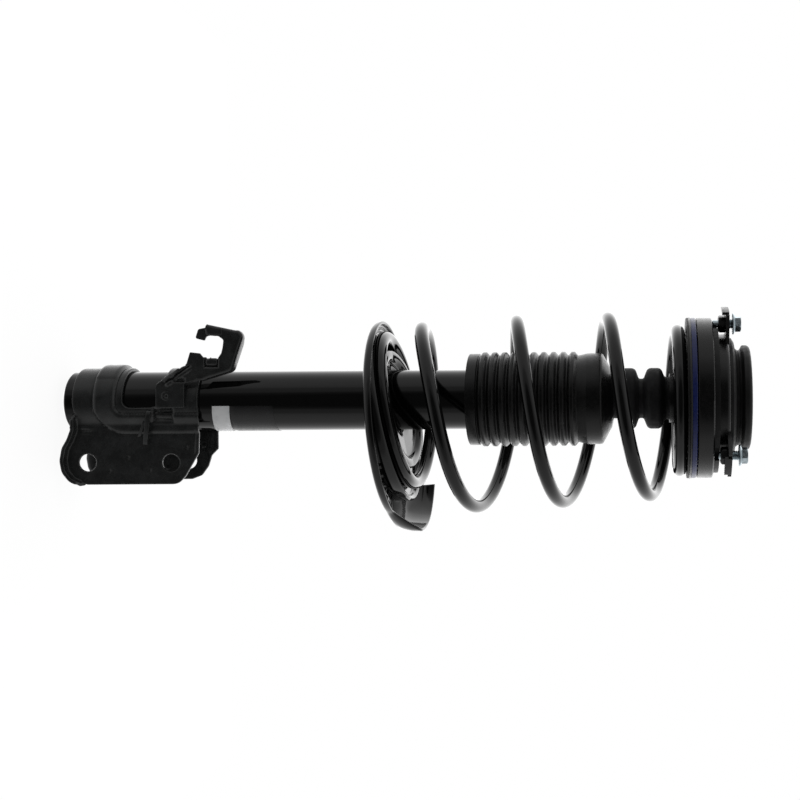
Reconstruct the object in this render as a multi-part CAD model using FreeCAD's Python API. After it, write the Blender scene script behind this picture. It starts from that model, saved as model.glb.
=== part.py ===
import FreeCAD, Part
import math
import os

from FreeCAD import Placement, Rotation, Vector

# A MacPherson strut assembly, in millimetres.
# +Z runs up the strut's axis to the body of the car, +X points at the knuckle,
# and the origin is the centre of the tower bolts on the mounting plate's upper face.

# ---- driving dimensions -------------------------------------------------------------
TUBE_R = 25.5
TUBE_WALL = 2.0
TUBE_TOP = -205.0
TUBE_BOTTOM = -556.5
ROD_R = 10.0
ROD_THREAD_R = 7.0
PISTON_R = 16.0
STROKE = 120.0
RUNNING_GAP = 0.05

TOWER_BOLT_CIRCLE_R = 65.0
TOWER_BOLT_ANGLES = (197.0, 317.0, 77.0)
TOWER_BOLT_RISE = (3.0, 6.2, 5.1)
BOLT_R = 4.0
BOLT_LENGTH = 16.8
PLATE_T = 3.0
PLATE_R = 54.5
LUG_TIP_R = 78.0
LUG_HALF_WIDTH = 14.0

PAD_TOP = 18.4

HOUSING_R = 68.4
HOUSING_TOP = -14.0
HOUSING_BOTTOM = -27.0
SEAL_R = 68.5
SEAL_TOP = -27.9
UPPER_SEAT_R = 69.3
UPPER_SEAT_TOP = -32.2
ISOLATOR_BOTTOM = -35.7
BALL_CIRCLE_R = 50.0
BALL_R = 3.0
BALL_Z = -27.45
BALL_COUNT = 30

WIRE_R = 5.85
SPRING_TOP_Z = ISOLATOR_BOTTOM - WIRE_R - 0.1
SPRING_TURNS = 4.95
SPRING_START = 430.0
# turns from the top end, height, coil radius, how far the coil's centre lies towards +X
SPRING_SHAPE = (
    (0.0, SPRING_TOP_Z, 59.4, 2.0), (0.45, SPRING_TOP_Z, 59.4, 2.0), (0.694, -43.1, 60.0, 2.7),
    (0.944, -48.5, 66.0, 6.5), (1.194, -65.6, 73.0, 9.6), (1.444, -88.0, 75.2, 9.0),
    (1.694, -102.6, 76.5, 8.1), (1.944, -116.5, 77.6, 8.6), (2.194, -139.8, 78.2, 9.5),
    (2.444, -161.5, 77.8, 10.2), (2.694, -180.4, 77.3, 11.0), (2.944, -192.0, 77.8, 12.0),
    (3.194, -213.2, 78.2, 13.0), (3.444, -237.0, 77.4, 14.0), (3.694, -260.4, 76.0, 15.0),
    (3.944, -264.6, 68.5, 12.0), (4.194, -269.2, 61.6, 8.7),
)
SEATED_FROM = 4.194

SEAT_CENTRE_X = 17.0
SEAT_Z = -293.0
SEAT_TILT = 4.5
SEAT_R = 84.4
SHEET_T = 2.8
TROUGH_TILT = 10.6
TROUGH_Z = -286.9
TROUGH_CENTRE_X = 11.9
TROUGH_R = 74.6
SEATED_RADIUS = 61.6
SEATED_GAP = 0.25
SEATED_CENTRE_X = 8.7

WRAP_T = 3.2
EAR_INNER = 19.0
EAR_REACH = 69.6
BAND_LOW = -549.5
BAND_HIGH = -444.5
WINDOW_LOW = -507.5
EAR_HOLE_R = 7.25
HOSE_SLOT_R = 9.4
EAR_HOLES = ((-539.3, 51.0), (-469.3, 51.5))

Z_AXIS = Vector(0, 0, 1)
ORIGIN = Vector(0, 0, 0)


# ---- helpers ------------------------------------------------------------------------
def in_xz(u, v):
    return Vector(u, 0, v)


def rounded_wire(points, place):
    """Closed wire through (u, v) corners; a third number rounds that corner."""
    corners = []
    for index, point in enumerate(points):
        here = Vector(point[0], point[1], 0)
        if len(point) < 3:
            corners.append((here, here, here))
            continue
        radius = point[2]
        previous = points[index - 1]
        following = points[(index + 1) % len(points)]
        back = (Vector(previous[0], previous[1], 0) - here).normalize()
        ahead = (Vector(following[0], following[1], 0) - here).normalize()
        half = back.getAngle(ahead) / 2
        cut = radius / math.tan(half)
        inward = (back + ahead).normalize()
        middle = here + inward * (radius / math.sin(half) - radius)
        corners.append((here + back * cut, middle, here + ahead * cut))
    edges = []
    for index, (start, middle, end) in enumerate(corners):
        if (end - start).Length > 1e-6:
            arc = Part.Arc(place(start.x, start.y), place(middle.x, middle.y), place(end.x, end.y))
            edges.append(arc.toShape())
        after = corners[(index + 1) % len(corners)][0]
        if (after - end).Length > 1e-6:
            line = Part.LineSegment(place(end.x, end.y), place(after.x, after.y))
            edges.append(line.toShape())
    return Part.Wire(edges)


def turned(points):
    """Solid of revolution about Z from (radius, z) corners."""
    return Part.Face(rounded_wire(points, in_xz)).revolve(ORIGIN, Z_AXIS, 360)


def ring(inner, outer, low, high):
    """Plain ring or, with inner 0, a plain disc."""
    solid = Part.makeCylinder(outer, high - low, Vector(0, 0, low))
    if inner > 0:
        solid = solid.cut(Part.makeCylinder(inner, high - low + 2, Vector(0, 0, low - 1)))
    return solid


def side_plate(points, y_low, y_high):
    """Plate with a (z, x) outline, between two Y planes."""
    wire = rounded_wire(points, lambda z, x: Vector(x, y_low, z))
    return Part.Face(wire).extrude(Vector(0, y_high - y_low, 0))


def hexagon(across_flats, low, high):
    radius = across_flats / math.sqrt(3)
    corners = [
        Vector(radius * math.cos(math.radians(60 * k)), radius * math.sin(math.radians(60 * k)), low)
        for k in range(7)
    ]
    return Part.Face(Part.makePolygon(corners)).extrude(Vector(0, 0, high - low))


def at_bolt(shape, index, z=0.0):
    """Copy of a shape on the Z axis, carried out to one of the tower bolts."""
    angle = TOWER_BOLT_ANGLES[index]
    centre = Vector(TOWER_BOLT_CIRCLE_R, 0, z)
    copy = shape.copy()
    copy.Placement = Placement(ORIGIN, Rotation(Z_AXIS, angle)).multiply(Placement(centre, Rotation()))
    return copy


def fused(shapes):
    return shapes[0].multiFuse(shapes[1:]).removeSplitter()


# ---- top mount, fixed to the car ----------------------------------------------------
def mount_plate():
    """Stamped disc with a turned-down rim and three bolt lugs whose tips are bent down."""
    disc = turned([
        (22, -PLATE_T), (PLATE_R - PLATE_T, -PLATE_T, 2), (PLATE_R - PLATE_T, -9),
        (PLATE_R, -9), (PLATE_R, 0, 3.5), (22, 0),
    ])
    arm = Part.makeBox(27, 2 * LUG_HALF_WIDTH, PLATE_T, Vector(49, -LUG_HALF_WIDTH, -PLATE_T))
    tip = Part.makeBox(3, 2 * LUG_HALF_WIDTH - 8, 6, Vector(LUG_TIP_R - 3, 4 - LUG_HALF_WIDTH, -6))
    lug = arm.fuse(tip)
    lug = lug.common(Part.makeCylinder(LUG_TIP_R, 20, Vector(0, 0, -10)))
    shapes = [disc]
    for angle in TOWER_BOLT_ANGLES:
        copy = lug.copy()
        copy.rotate(ORIGIN, Z_AXIS, angle)
        shapes.append(copy)
    plate = fused(shapes)
    hole = Part.makeCylinder(BOLT_R + 0.3, 12, Vector(0, 0, -8))
    for index in range(3):
        plate = plate.cut(at_bolt(hole, index))
    return plate


def dished_neck():
    """Moulded collar that runs from the plate up into the groove under the top pad."""
    return turned([
        (22, 0), (51.5, 0), (51.2, 2.6, 1), (48, 4.6, 1.5), (42.5, 5.6, 3), (40.5, 8.3), (22, 8.3),
    ])


def top_pad():
    """Round pad that meets the strut tower, open in the middle over the rod's nut."""
    return turned([
        (22, 8.3), (40.5, 8.3), (41.2, 10, 1), (44.9, 12, 1.5), (44.9, PAD_TOP, 3.5), (26, PAD_TOP, 1.5),
        (24, 15, 1.5), (22, 15, 0.8),
    ])


def flange_bolt():
    """Flanged hexagon bolt, flange underside at z = 0, with a dog point."""
    flange = turned([(0, 0), (9, 0), (9, 1.2), (6.5, 2.6), (0, 2.6)])
    head = hexagon(12, 1.0, 7.4).common(turned([(0, 0), (7.2, 0), (7.2, 6.5), (6.2, 7.4), (0, 7.4)]))
    dog = 5.0
    shank = turned([
        (0, -BOLT_LENGTH), (2.6, -BOLT_LENGTH), (3.2, -BOLT_LENGTH + 0.6), (3.2, -BOLT_LENGTH + dog),
        (BOLT_R, -BOLT_LENGTH + dog + 1), (BOLT_R, 0.5), (0, 0.5),
    ])
    return fused([flange, head, shank])


def flange_bolts():
    return Part.makeCompound([at_bolt(flange_bolt(), k, TOWER_BOLT_RISE[k]) for k in range(3)])


def weld_nuts():
    """Weld nuts on the lugs' undersides."""
    nut = hexagon(13, -PLATE_T - 6, -PLATE_T)
    nut = nut.cut(Part.makeCylinder(BOLT_R + RUNNING_GAP, 10, Vector(0, 0, -PLATE_T - 8)))
    return Part.makeCompound([at_bolt(nut, k) for k in range(3)])


def mount_core():
    """Steel sleeve with a flange, clamped on the rod and bonded into the rubber."""
    return turned([
        (ROD_THREAD_R + RUNNING_GAP, -36.5), (14, -36.5), (14, -12), (34, -12, 1), (34, -9, 1), (14, -9),
        (14, 2), (ROD_THREAD_R + RUNNING_GAP, 2),
    ])


def mount_rubber():
    """Rubber that joins the core to the plate and shows as the groove above the housing."""
    rubber = turned([
        (14, HOUSING_TOP), (64, HOUSING_TOP), (64, -9.4), (51.3, -9.4), (51.3, -5.5, 1),
        (49.4, -PLATE_T), (14, -PLATE_T),
    ])
    rubber = rubber.cut(mount_core())
    pocket = Part.makeCylinder(8.4, 8, Vector(0, 0, HOUSING_TOP - 1))
    for index in range(3):
        rubber = rubber.cut(at_bolt(pocket, index))
    return rubber


def rod_nut():
    nut = hexagon(22, 2, 13).common(turned([(0, 2), (12.7, 2), (12.7, 12), (11, 13), (0, 13)]))
    return nut.cut(Part.makeCylinder(ROD_THREAD_R + 0.02, 20, Vector(0, 0, 0)))


def bearing_housing():
    """Upper half of the strut bearing, fixed to the mount."""
    return turned([
        (38, HOUSING_TOP), (38, HOUSING_BOTTOM), (44, HOUSING_BOTTOM), (44, -21.6), (56, -21.6),
        (56, HOUSING_BOTTOM), (HOUSING_R, HOUSING_BOTTOM, 0.6), (HOUSING_R, HOUSING_TOP, 1.2),
    ])


def race(low, high):
    """Steel ring with a round groove for the balls."""
    groove = Part.makeTorus(BALL_CIRCLE_R, BALL_R + RUNNING_GAP, Vector(0, 0, BALL_Z))
    return ring(44, 56, low, high).cut(groove)


def piston_rod():
    """Rod in one piece: lower spigot for the piston, ground shaft, threaded top."""
    return turned([
        (0, -292), (5, -292), (6, -291), (6, -252), (ROD_R, -252, 0.5), (ROD_R, -39, 0.8),
        (ROD_THREAD_R, -39), (ROD_THREAD_R, 14), (6, 15), (0, 15),
    ])


def bumper_cup():
    """Pressed cup on the rod's shoulder that holds the neck of the bumper."""
    return turned([
        (ROD_THREAD_R + RUNNING_GAP, -39), (18.9, -39), (18.9, -50), (21, -50), (21, -36.5, 2),
        (ROD_THREAD_R + RUNNING_GAP, -36.5),
    ])


def jounce_bumper():
    """Foam bumper on the rod: neck, two round lobes and a long lower part inside the boot."""
    return turned([
        (ROD_R + 0.4, -39.3), (18.5, -39.3), (18.5, -50), (17.3, -54, 3), (26, -57.5, 4), (26, -68, 4),
        (16.9, -72, 2), (16.9, -76, 2), (26, -79.5, 4), (26, -90, 4), (17, -94, 2), (17, -99, 2),
        (24, -103, 4), (24, -114, 4), (17.5, -118, 2), (17.5, -121, 2), (21, -125, 4), (18, -140, 3),
        (ROD_R + 0.4, -140),
    ])


def dust_boot():
    """Bellows sleeve: shoulder, upper collar, ten ribs and a plain lower collar."""
    first_peak, pitch, ribs = -207.2, 8.37, 10
    peak_r, valley_r, wall = 40.3, 37.0, 1.6
    outside = [(17.6, -97.4), (38.9, -107, 3), (38.9, -119.6)]
    for rib in reversed(range(ribs)):
        middle = first_peak + rib * pitch
        outside.append((valley_r, middle + pitch / 2))
        outside.append((peak_r, middle + 1.2))
        outside.append((peak_r, middle - 1.2))
    outside += [(valley_r, -210.9), (39, -211.6), (39, -220.1)]
    inside = []
    for point in reversed(outside[:-1]):
        lift = 0 if point[1] < -108 else -wall
        inside.append((point[0] - wall, point[1] + lift))
    inside[-1] = (17.6, -97.4 - wall)
    return turned(outside + [(39 - wall, -220.1)] + inside)


def piston():
    body = ring(6.02, PISTON_R - 0.5, -276, -254)
    return body.cut(ring(PISTON_R - 2, PISTON_R + 1, -269, -261))


def piston_ring():
    return ring(PISTON_R - 2, PISTON_R - RUNNING_GAP, -269, -261)


def piston_nut():
    return hexagon(19, -286, -276).cut(Part.makeCylinder(6.02, 20, Vector(0, 0, -290)))


def rebound_stop():
    return turned([(ROD_R, -236.5), (14, -236.5, 1.5), (14, -228.4, 1.5), (ROD_R, -228.4)])


# ---- upper spring seat, turns with the spring ----------------------------------------
def upper_spring_seat():
    """Pressed disc with a rolled edge and a short neck round the bumper cup."""
    return turned([
        (24, -43), (26.2, -43), (26.2, -34, 1.5), (UPPER_SEAT_R - 0.8, -34, 0.6),
        (UPPER_SEAT_R, -33.1, 0.5), (UPPER_SEAT_R - 0.6, UPPER_SEAT_TOP, 0.3), (24, UPPER_SEAT_TOP, 2),
    ])


def seal_ring():
    """Coloured lower half of the bearing's shell, seen as a bright line."""
    return turned([
        (56, UPPER_SEAT_TOP), (SEAL_R, UPPER_SEAT_TOP, 0.5), (SEAL_R, SEAL_TOP, 0.8), (56, SEAL_TOP),
    ])


def bearing_balls():
    balls = []
    for index in range(BALL_COUNT):
        angle = 2 * math.pi * index / BALL_COUNT
        centre = Vector(BALL_CIRCLE_R * math.cos(angle), BALL_CIRCLE_R * math.sin(angle), BALL_Z)
        balls.append(Part.makeSphere(BALL_R, centre))
    return Part.makeCompound(balls)


def ball_cage():
    cage = ring(45.5, 54.5, BALL_Z - 0.4, BALL_Z + 0.4)
    holes = []
    for index in range(BALL_COUNT):
        angle = 2 * math.pi * index / BALL_COUNT
        foot = Vector(BALL_CIRCLE_R * math.cos(angle), BALL_CIRCLE_R * math.sin(angle), BALL_Z - 2)
        holes.append(Part.makeCylinder(BALL_R + 0.1, 4, foot))
    return cage.cut(Part.makeCompound(holes))


def upper_isolator():
    """Rubber under the upper seat, with a hub that centres the spring."""
    return turned([
        (26.2, -34, 1.6), (26.2, -42), (43, -42), (50, -42, 3), (51.5, ISOLATOR_BOTTOM, 1),
        (UPPER_SEAT_R - 0.7, ISOLATOR_BOTTOM, 0.6), (UPPER_SEAT_R - 0.7, -34),
    ])


def spring_point(turns):
    """Centre of the spring's wire, counted in turns down from its top end."""
    angle = math.radians(SPRING_START - 360 * turns)
    if turns > SEATED_FROM:
        radius = SEATED_RADIUS
        centre_x = SEATED_CENTRE_X
        reach = radius * math.cos(angle)
        rest = (WIRE_R + SEATED_GAP) / math.cos(math.radians(TROUGH_TILT))
        z = TROUGH_Z + rest + reach * math.tan(math.radians(TROUGH_TILT))
    else:
        rows = zip(SPRING_SHAPE, SPRING_SHAPE[1:])
        low, high = next(pair for pair in rows if turns <= pair[1][0])
        share = (turns - low[0]) / (high[0] - low[0])
        z, radius, centre_x = (low[k] + share * (high[k] - low[k]) for k in (1, 2, 3))
    return Vector(centre_x + radius * math.cos(angle), radius * math.sin(angle), z)


def coil_spring():
    steps_per_turn = 8
    points = [spring_point(k / steps_per_turn) for k in range(int(SPRING_TURNS * steps_per_turn) + 1)]
    curve = Part.BSplineCurve()
    curve.interpolate(points)
    path = Part.Wire(curve.toShape())
    section = Part.Wire(Part.makeCircle(WIRE_R, points[0], curve.tangent(0)[0]))
    return path.makePipeShell([section], True, False)


# ---- strut, rides on the knuckle ------------------------------------------------------
def strut_tube():
    return turned([
        (TUBE_R - TUBE_WALL, TUBE_BOTTOM), (TUBE_R, TUBE_BOTTOM), (TUBE_R, TUBE_TOP - 1, 1),
        (TUBE_R - TUBE_WALL, TUBE_TOP - 1),
    ])


def base_cap():
    """Dished cap that closes the tube's lower end."""
    return turned([
        (0, -564.2), (9, -564.2, 6), (18, -561.5, 8), (24.9, -557.6, 2.5), (TUBE_R - 0.2, TUBE_BOTTOM),
        (TUBE_R - TUBE_WALL, TUBE_BOTTOM), (TUBE_R - TUBE_WALL, -553), (20, -553, 3), (14, -560, 6), (0, -561),
    ])


def ear_outline(inset=0.0):
    """(z, x) outline of the ears below the tube, drawn in by inset at the lower end."""
    return [
        (BAND_LOW + inset, 0), (-550.5 + inset, 14), (-550 + inset, 24.5, 12), (-559.5 + inset, 38, 10),
        (-559.5 + inset, EAR_REACH, 19), (-460.5, EAR_REACH, 12), (BAND_HIGH - 1, 43.5, 3),
        (BAND_HIGH - 1, 20, 4), (BAND_HIGH, 0),
    ]


def end_flange(side):
    """Turned-out flange along the lower end of an ear."""
    depth = 9.0
    low = EAR_INNER if side > 0 else -EAR_INNER - depth - WRAP_T
    outer = side_plate(ear_outline(), low, low + depth + WRAP_T)
    inner = side_plate(ear_outline(WRAP_T), low - 1, low + depth + WRAP_T + 1)
    keep = Part.makeBox(50, 80, 80, Vector(18, -40, -620))
    return outer.cut(inner).common(keep)


def knuckle_bracket():
    """Pressed bracket: wraps the tube in two bands and carries two ears with bolt holes."""
    outside_r = TUBE_R + WRAP_T
    height = 130
    low = Vector(0, 0, -570)
    ear_outer = EAR_INNER + WRAP_T
    outside = Part.makeCylinder(outside_r, height, low)
    outside = outside.fuse(Part.makeBox(90, 2 * ear_outer, height, Vector(0, -ear_outer, -570)))
    inside = Part.makeCylinder(TUBE_R, height, low)
    inside = inside.fuse(Part.makeBox(92, 2 * EAR_INNER, height, Vector(0, -EAR_INNER, -570)))
    channel = outside.cut(inside)
    bands = [
        (BAND_HIGH, -40), (-474, -40), (-474, 5, 6), (WINDOW_LOW, 5, 8), (WINDOW_LOW, -40), (BAND_LOW, -40),
    ]
    bracket = channel.common(side_plate(bands + ear_outline(), -45, 45))
    bead = ring(outside_r - 1, outside_r + 2, -531, -514)
    bead = bead.cut(Part.makeBox(80, 80, 40, Vector(12, -40, -540)))
    shapes = [bracket, bead]
    rib = [(-531, 8), (-531, 25, 16), (-447, 25, 3), (-447, 12, 3), (-514, 12, 10), (-514, 8)]
    for side in (-1, 1):
        rib_low = ear_outer - 1 if side > 0 else -ear_outer - 2
        shapes.append(side_plate(rib, rib_low, rib_low + 3))
        shapes.append(end_flange(side))
    bracket = fused(shapes)
    bracket = bracket.cut(Part.makeCylinder(TUBE_R, height, low))
    for z, x in EAR_HOLES:
        bracket = bracket.cut(Part.makeCylinder(EAR_HOLE_R, 90, Vector(x, -45, z), Vector(0, 1, 0)))
    return bracket


def hose_bracket():
    """Pressed bracket with a C-shaped slot for the brake hose, welded to the upper band."""
    front, back = -31.2, -28.7
    outline = [
        (-474, -12, 2), (-459.4, -27.1, 1), (-453.7, -30, 2), (-450, -41, 0.8), (-441.9, -39.9, 0.8),
        (-440.2, -34.5), (-430, -34), (-430, -50), (-439.5, -50), (-444.9, -51.6, 1.5), (-443.1, -60.7, 3),
        (-435.7, -63.4, 2), (-402.6, -56.4, 5), (-413, -21.5, 5), (-432, -24, 2), (-447, -17, 2),
        (-456, 3, 2), (-474, 3, 4),
    ]
    plate = side_plate(outline, front, back)
    slot = Part.makeCylinder(HOSE_SLOT_R, 20, Vector(-45, -40, -430.8), Vector(0, 1, 0))
    plate = plate.cut(slot)
    edge = side_plate([(-404.9, -56.9), (-402.6, -56.4, 5), (-413, -21.5, 5), (-432, -24),
                       (-432, -26.4), (-415, -24.3, 3)], front, -21.5)
    foot = Part.makeBox(21, 9, 25, Vector(-15.3, -31.2, -479.6))
    foot = foot.cut(Part.makeCylinder(TUBE_R + WRAP_T, 40, Vector(0, 0, -490)))
    return fused([plate, edge, foot])


def wire_clip():
    """Small bent clip on the near ear for a sensor lead."""
    strap = side_plate([
        (-493, 29), (-486.5, 12.5), (-482, 12.5), (-484, 34), (-487, 34), (-486.5, 22),
    ], -28.6, -25.6)
    foot = side_plate([(-489, 17.5), (-483, 17.5), (-483, 24), (-489, 24)], -25.6, -24.2)
    return strap.fuse(foot).removeSplitter()


def in_seat_frame(shape, z, tilt, centre_x=SEAT_CENTRE_X):
    """Carry a shape made about its own axis to the offset, tilted lower seat."""
    copy = shape.copy()
    copy.Placement = Placement(Vector(centre_x, 0, z), Rotation(Vector(0, 1, 0), -tilt))
    return copy


def lower_spring_seat():
    """Pressed dish: a tilted spring trough with a stepped hub stands up from the rim's shelf."""
    trough_rise = (TROUGH_CENTRE_X - SEATED_CENTRE_X) * math.tan(math.radians(TROUGH_TILT))
    hub = turned([
        (20, 2), (40, 2, 2), (40, 6.1, 2), (49.2, 6.1, 2), (49.2, -SHEET_T, 2), (54, -SHEET_T), (54, 0),
        (52, 0, 1), (52, 8.9, 3), (42.8, 8.9, 2), (42.8, 4.8, 2), (20, 4.8),
    ])
    trough = ring(51, TROUGH_R, -SHEET_T, 0).fuse(ring(TROUGH_R - SHEET_T, TROUGH_R, -SHEET_T, 3.2))
    skirt = ring(TROUGH_R - SHEET_T, TROUGH_R, -30, 0)
    rim = turned([
        (55, -0.7), (SEAT_R, -0.7, 3), (SEAT_R, 6.3, 1), (SEAT_R - SHEET_T, 6.3), (SEAT_R - SHEET_T, 2.1, 2),
        (55, 2.1),
    ])
    guard = Part.Face(rounded_wire([
        (SEAT_R - SHEET_T, -0.7), (SEAT_R + 0.6, -0.7), (97.4, 14, 6), (97.4, 25.5), (94.6, 25.5),
        (94.6, 15, 6), (SEAT_R - 1, 3.5),
    ], in_xz)).revolve(ORIGIN, Z_AXIS, 70)
    guard.rotate(ORIGIN, Z_AXIS, -20)
    collar = ring(TUBE_R - 1, TUBE_R + SHEET_T, -300, -281)
    trough_z = TROUGH_Z + trough_rise
    well = Part.makeCylinder(TROUGH_R - 1, 60, Vector(0, 0, -30))
    above_shelf = Part.makeCylinder(SEAT_R, 60, Vector(0, 0, -0.7))
    seat = fused([
        in_seat_frame(hub, TROUGH_Z, TROUGH_TILT, SEATED_CENTRE_X),
        in_seat_frame(trough, trough_z, TROUGH_TILT, TROUGH_CENTRE_X),
        in_seat_frame(skirt, trough_z, TROUGH_TILT, TROUGH_CENTRE_X).common(
            in_seat_frame(above_shelf, SEAT_Z, SEAT_TILT)),
        in_seat_frame(rim, SEAT_Z, SEAT_TILT).cut(
            in_seat_frame(well, trough_z, TROUGH_TILT, TROUGH_CENTRE_X)),
        in_seat_frame(guard, SEAT_Z, SEAT_TILT), collar,
    ])
    return seat.cut(Part.makeCylinder(TUBE_R, 80, Vector(0, 0, -330)))


def strut_label():
    """Blank label on the tube."""
    skin = ring(TUBE_R, TUBE_R + 0.15, -437, -382.5)
    return skin.common(Part.makeBox(40, 80, 60, Vector(4, -40, -440)))


def pressure_tube():
    return ring(PISTON_R, PISTON_R + 1.2, -548, -222)


def base_valve():
    return turned([
        (0, -553), (10, -553), (10, -548), (PISTON_R + 1.2, -548), (PISTON_R + 1.2, -548.01),
        (PISTON_R, -548.01), (PISTON_R, -538, 1), (0, -538),
    ])


def rod_guide():
    """Guide that closes the pressure tube and carries the rod's bush."""
    return turned([
        (ROD_R + 1.5, -228), (PISTON_R, -228, 0.5), (PISTON_R, -222), (TUBE_R - TUBE_WALL, -222),
        (TUBE_R - TUBE_WALL, -211), (ROD_R + 1.5, -211),
    ])


def guide_bush():
    return ring(ROD_R + RUNNING_GAP, ROD_R + 1.5, -228, -211)


def rod_seal():
    return ring(ROD_R + RUNNING_GAP, TUBE_R - TUBE_WALL, -211, -206)


def tube_cap():
    """Cap on the tube's end that the bumper strikes."""
    return turned([
        (ROD_R + 1, TUBE_TOP - 1), (TUBE_R, TUBE_TOP - 1), (TUBE_R + 0.1, -216), (TUBE_R + 1.6, -216),
        (TUBE_R + 1.6, TUBE_TOP + 1, 1.5), (ROD_R + 1, TUBE_TOP + 1, 1),
    ])


NODES = {
    "mount_plate": mount_plate,
    "dished_neck": dished_neck,
    "top_pad": top_pad,
    "flange_bolts": flange_bolts,
    "weld_nuts": weld_nuts,
    "mount_core": mount_core,
    "mount_rubber": mount_rubber,
    "rod_nut": rod_nut,
    "bearing_housing": bearing_housing,
    "upper_race": lambda: race(-26.6, -21.6),
    "piston_rod": piston_rod,
    "bumper_cup": bumper_cup,
    "jounce_bumper": jounce_bumper,
    "dust_boot": dust_boot,
    "piston": piston,
    "piston_ring": piston_ring,
    "piston_nut": piston_nut,
    "rebound_stop": rebound_stop,
    "upper_spring_seat": upper_spring_seat,
    "seal_ring": seal_ring,
    "lower_race": lambda: race(UPPER_SEAT_TOP, -28.3),
    "bearing_balls": bearing_balls,
    "ball_cage": ball_cage,
    "upper_isolator": upper_isolator,
    "coil_spring": coil_spring,
    "strut_tube": strut_tube,
    "base_cap": base_cap,
    "knuckle_bracket": knuckle_bracket,
    "hose_bracket": hose_bracket,
    "wire_clip": wire_clip,
    "lower_spring_seat": lower_spring_seat,
    "strut_label": strut_label,
    "pressure_tube": pressure_tube,
    "base_valve": base_valve,
    "rod_guide": rod_guide,
    "guide_bush": guide_bush,
    "rod_seal": rod_seal,
    "tube_cap": tube_cap,
}

os.makedirs("parts", exist_ok=True)
for name, make in NODES.items():
    shape = make()
    if not shape.isValid():
        print("not valid:", name)
    shape.exportStep("parts/" + name + ".step")
    box = shape.BoundBox
    print(name, len(shape.Solids), round(shape.Volume), [round(v, 1) for v in (
        box.XMin, box.XMax, box.YMin, box.YMax, box.ZMin, box.ZMax)])
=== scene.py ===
import math

import bmesh
import bpy
import numpy as np
from mathutils import Matrix, Vector
from mathutils.geometry import delaunay_2d_cdt


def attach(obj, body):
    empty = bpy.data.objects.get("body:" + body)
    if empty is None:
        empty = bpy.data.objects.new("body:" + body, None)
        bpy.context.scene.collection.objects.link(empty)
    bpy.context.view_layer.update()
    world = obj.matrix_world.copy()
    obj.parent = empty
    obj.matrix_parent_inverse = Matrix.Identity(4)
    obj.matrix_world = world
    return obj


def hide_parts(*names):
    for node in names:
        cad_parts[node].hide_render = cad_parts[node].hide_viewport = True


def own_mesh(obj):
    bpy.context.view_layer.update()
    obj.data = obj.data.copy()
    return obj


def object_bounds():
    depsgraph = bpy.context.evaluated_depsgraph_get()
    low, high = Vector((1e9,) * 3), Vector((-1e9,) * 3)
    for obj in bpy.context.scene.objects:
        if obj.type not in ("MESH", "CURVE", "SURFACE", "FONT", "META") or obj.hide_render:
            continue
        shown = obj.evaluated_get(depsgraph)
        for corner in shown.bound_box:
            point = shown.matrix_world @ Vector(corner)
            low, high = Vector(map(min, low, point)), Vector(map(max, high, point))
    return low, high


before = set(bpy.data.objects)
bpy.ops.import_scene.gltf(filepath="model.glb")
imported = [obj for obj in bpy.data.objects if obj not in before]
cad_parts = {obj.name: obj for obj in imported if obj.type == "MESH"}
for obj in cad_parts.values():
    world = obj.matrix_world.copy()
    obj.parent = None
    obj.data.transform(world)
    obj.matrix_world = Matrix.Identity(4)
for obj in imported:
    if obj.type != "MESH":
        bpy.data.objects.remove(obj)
cad_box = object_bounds()

# Everything is drawn in millimetres in the CAD frame and scaled once, here.
MM = 0.001
TUBE_R = 25.5
TAU = 2 * math.pi


# ---- materials ------------------------------------------------------------------------
def link(tree, source, target):
    tree.links.new(source, target)


def noise_node(tree, coordinates, size_mm, detail=3.0, roughness=0.55):
    node = tree.nodes.new("ShaderNodeTexNoise")
    node.inputs["Scale"].default_value = 1 / (size_mm * MM)
    node.inputs["Detail"].default_value = detail
    node.inputs["Roughness"].default_value = roughness
    link(tree, coordinates, node.inputs["Vector"])
    return node.outputs["Fac"]


def ranged(tree, value, from_low, from_high, to_low, to_high):
    node = tree.nodes.new("ShaderNodeMapRange")
    node.inputs["From Min"].default_value = from_low
    node.inputs["From Max"].default_value = from_high
    node.inputs["To Min"].default_value = to_low
    node.inputs["To Max"].default_value = to_high
    link(tree, value, node.inputs["Value"])
    return node.outputs["Result"]


def mixed(tree, share, first, second):
    """Colour mix; first and second are colours or sockets."""
    node = tree.nodes.new("ShaderNodeMix")
    node.data_type = "RGBA"
    link(tree, share, node.inputs["Factor"])
    for socket, value in ((node.inputs[6], first), (node.inputs[7], second)):
        if isinstance(value, tuple):
            socket.default_value = (*value, 1.0)
        else:
            link(tree, value, socket)
    return node.outputs[2]


def bevelled_normal(tree, radius_mm):
    bevel = tree.nodes.new("ShaderNodeBevel")
    bevel.samples = 4
    bevel.inputs["Radius"].default_value = radius_mm * MM
    return bevel.outputs["Normal"]


def bump(tree, height, depth_mm):
    node = tree.nodes.new("ShaderNodeBump")
    node.inputs["Strength"].default_value = 1.0
    node.inputs["Distance"].default_value = depth_mm * MM
    link(tree, height, node.inputs["Height"])
    return node


def edge_mask(tree, radius_mm):
    """1 on sharp edges, 0 on flat faces, from a bevelled normal against the true one."""
    geometry = tree.nodes.new("ShaderNodeNewGeometry")
    dot = tree.nodes.new("ShaderNodeVectorMath")
    dot.operation = "DOT_PRODUCT"
    link(tree, bevelled_normal(tree, radius_mm), dot.inputs[0])
    link(tree, geometry.outputs["Normal"], dot.inputs[1])
    return ranged(tree, dot.outputs["Value"], 0.99, 0.86, 0.0, 1.0)


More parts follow.
